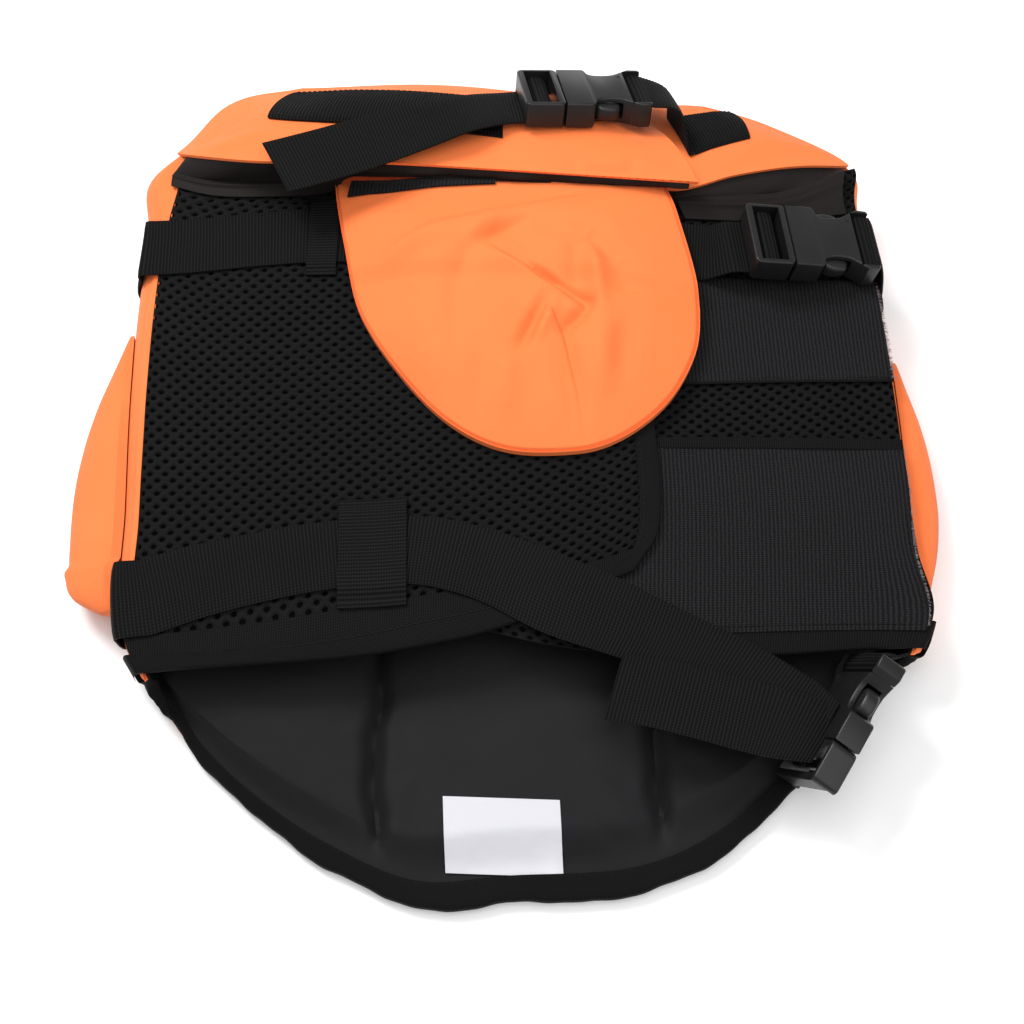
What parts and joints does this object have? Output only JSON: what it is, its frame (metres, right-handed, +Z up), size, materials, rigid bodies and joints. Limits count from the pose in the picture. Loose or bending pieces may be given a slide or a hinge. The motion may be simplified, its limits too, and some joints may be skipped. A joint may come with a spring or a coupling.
{
  "type": "dog life jacket",
  "caption": "Flotation jacket for a dog, lying on its back: orange shell, chin float and side floats, black mesh belly, webbing straps and side-release buckles.",
  "frame": {"origin": "middle of the jacket's plan, on the surface that its back lies on", "axes": "+Z up, away from the surface; +Y towards the neck; +X towards the jacket's right-hand side as seen with the neck at the top"},
  "size_m": [0.5028, 0.516, 0.099],
  "materials": {
    "orange": "orange coated oxford cloth",
    "lining": "black nylon lining with a slight sheen",
    "mesh": "black spacer mesh",
    "loop": "black loop fastener cloth",
    "tape": "black ribbed binding tape",
    "webbing": "black ribbed webbing",
    "buckle": "black satin acetal",
    "label": "plain white woven label"
  },
  "bodies": {
    "root": {"back_shell": "orange", "back_lining": "lining", "tail_binding": "tape", "belly_left": "mesh", "belly_left_binding": "tape", "belly_right": "mesh", "belly_right_binding": "tape", "loop_panel_upper": "loop", "loop_panel_lower": "loop", "side_float_left": "orange", "side_float_right": "orange", "upper_strap_left": "webbing", "upper_strap_right": "webbing", "lower_strap": "webbing", "lower_strap_end": "webbing", "lower_strap_right": "webbing", "keeper_upper": "webbing", "keeper_lower": "webbing", "chin_float": "orange", "collar_left": "orange", "collar_right": "orange", "collar_left_facing": "lining", "collar_right_facing": "lining", "chin_hook": "loop", "neck_anchor_left": "webbing", "neck_anchor_right": "webbing", "neck_strap_free": "webbing", "neck_strap_right": "webbing", "label": "label", "buckle_neck_male": "buckle", "buckle_neck_female": "buckle", "buckle_upper_male": "buckle", "buckle_upper_female": "buckle", "buckle_lower_male": "buckle", "buckle_lower_female": "buckle"}
  },
  "joints": []
}
